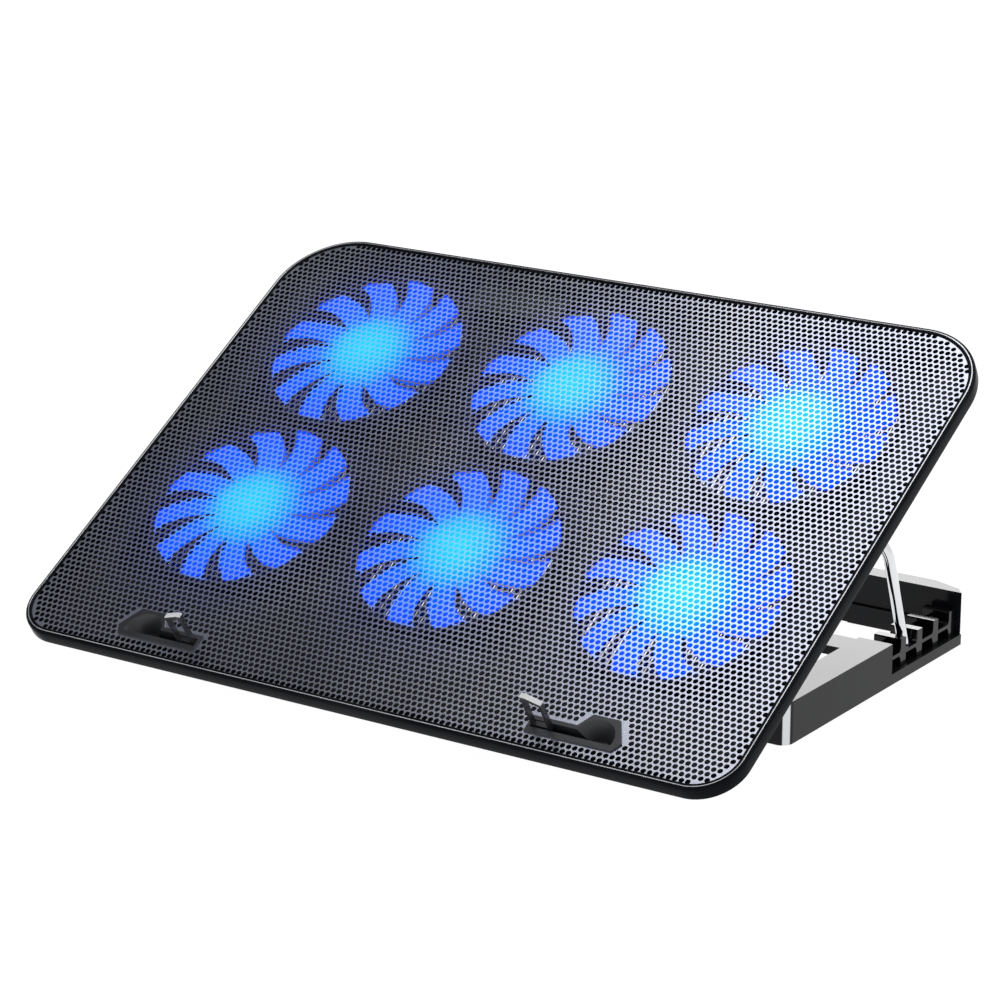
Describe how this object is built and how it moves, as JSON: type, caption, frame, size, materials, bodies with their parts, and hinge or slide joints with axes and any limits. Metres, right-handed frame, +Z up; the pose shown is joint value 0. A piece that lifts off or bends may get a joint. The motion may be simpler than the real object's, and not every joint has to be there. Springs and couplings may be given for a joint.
{
  "type": "laptop cooling pad",
  "caption": "Tilted laptop cooling pad: a perforated metal tray with lit fans beneath, fold-down stops at its front edge and a wire leg that steps through notches in a low base frame.",
  "frame": {"origin": "on the table, under the middle of the pad's width and depth", "axes": "+X to the user's right, +Y away from the user, +Z up"},
  "size_m": [0.36, 0.24, 0.1421],
  "materials": {
    "rim_plastic": "satin black",
    "mesh_metal": "perforated sheet, satin grey",
    "shell_plastic": "fine texture",
    "screw_steel": "plated",
    "rotor_plastic": "translucent, lit blue from the hub",
    "motor_plastic": "moulded",
    "led_lens": "clear lens, lit",
    "wire_jacket": "smooth",
    "circuit_board": "solder mask",
    "socket_steel": "plated",
    "knob_plastic": "moulded",
    "pocket_plastic": "satin black",
    "stop_plastic": "satin black",
    "leg_chrome": "polished",
    "base_plastic": "polished dark grey",
    "rack_plastic": "glossy black",
    "foot_rubber": "soft pad"
  },
  "bodies": {
    "base": {"base_frame": "base_plastic", "notch_rack_left": "rack_plastic", "notch_rack_right": "rack_plastic", "base_feet": "foot_rubber", "hinge_pins": "screw_steel"},
    "tray": {"top_frame": "rim_plastic", "mesh_panel": "mesh_metal", "bottom_shell": "shell_plastic", "shell_screws": "screw_steel", "fan_motor_1": "motor_plastic", "fan_motor_2": "motor_plastic", "fan_motor_3": "motor_plastic", "fan_motor_4": "motor_plastic", "fan_motor_5": "motor_plastic", "fan_motor_6": "motor_plastic", "fan_grilles": "motor_plastic", "fan_leds": "led_lens", "fan_wiring": "wire_jacket", "control_board": "circuit_board", "usb_sockets": "socket_steel", "switch_body": "motor_plastic", "stop_pocket_left": "pocket_plastic", "stop_pocket_right": "pocket_plastic", "stop_pin_left": "screw_steel", "stop_pin_right": "screw_steel", "leg_clips": "shell_plastic", "clip_screws": "screw_steel"},
    "leg": {"support_leg": "leg_chrome"},
    "rotor_1": {"fan_rotor_1": "rotor_plastic"},
    "rotor_2": {"fan_rotor_2": "rotor_plastic"},
    "rotor_3": {"fan_rotor_3": "rotor_plastic"},
    "rotor_4": {"fan_rotor_4": "rotor_plastic"},
    "rotor_5": {"fan_rotor_5": "rotor_plastic"},
    "rotor_6": {"fan_rotor_6": "rotor_plastic"},
    "stop_left": {"stop_left": "stop_plastic"},
    "stop_right": {"stop_right": "stop_plastic"},
    "switch": {"switch_knob": "knob_plastic"}
  },
  "joints": [
    {"name": "tray_tilt", "type": "hinge", "parent": "base", "child": "tray", "pos_m": [0, -0.10525, 0.00436], "axis": [1, 0, 0], "range_deg": [0, 20]},
    {"name": "leg_swing", "type": "hinge", "parent": "tray", "child": "leg", "pos_m": [0, 0.04305, 0.08472], "axis": [1, 0, 0], "range_deg": [-10, 0]},
    {"name": "fan_spin_1", "type": "hinge", "parent": "tray", "child": "rotor_1", "pos_m": [-0.11, 0.0499, 0.10342], "axis": [0, -0.515, 0.8572], "continuous": true},
    {"name": "fan_spin_2", "type": "hinge", "parent": "tray", "child": "rotor_2", "pos_m": [0, 0.0499, 0.10342], "axis": [0, -0.515, 0.8572], "continuous": true},
    {"name": "fan_spin_3", "type": "hinge", "parent": "tray", "child": "rotor_3", "pos_m": [0.11, 0.0499, 0.10342], "axis": [0, -0.515, 0.8572], "continuous": true},
    {"name": "fan_spin_4", "type": "hinge", "parent": "tray", "child": "rotor_4", "pos_m": [-0.11, -0.03539, 0.05217], "axis": [0, -0.515, 0.8572], "continuous": true},
    {"name": "fan_spin_5", "type": "hinge", "parent": "tray", "child": "rotor_5", "pos_m": [0, -0.03539, 0.05217], "axis": [0, -0.515, 0.8572], "continuous": true},
    {"name": "fan_spin_6", "type": "hinge", "parent": "tray", "child": "rotor_6", "pos_m": [0.11, -0.03539, 0.05217], "axis": [0, -0.515, 0.8572], "continuous": true},
    {"name": "stop_left_fold", "type": "hinge", "parent": "tray", "child": "stop_left", "pos_m": [-0.09, -0.10606, 0.01251], "axis": [0, 0.8572, 0.515], "range_deg": [-90, 0]},
    {"name": "stop_right_fold", "type": "hinge", "parent": "tray", "child": "stop_right", "pos_m": [0.09, -0.10606, 0.01251], "axis": [0, 0.8572, 0.515], "range_deg": [0, 90]},
    {"name": "power_switch_slide", "type": "slide", "parent": "tray", "child": "switch", "axis": [1, 0, 0], "range_m": [0, 0.004]}
  ],
  "couplings": [
    {"joint": "leg_swing", "follows": "tray_tilt", "ratio": -0.5}
  ]
}
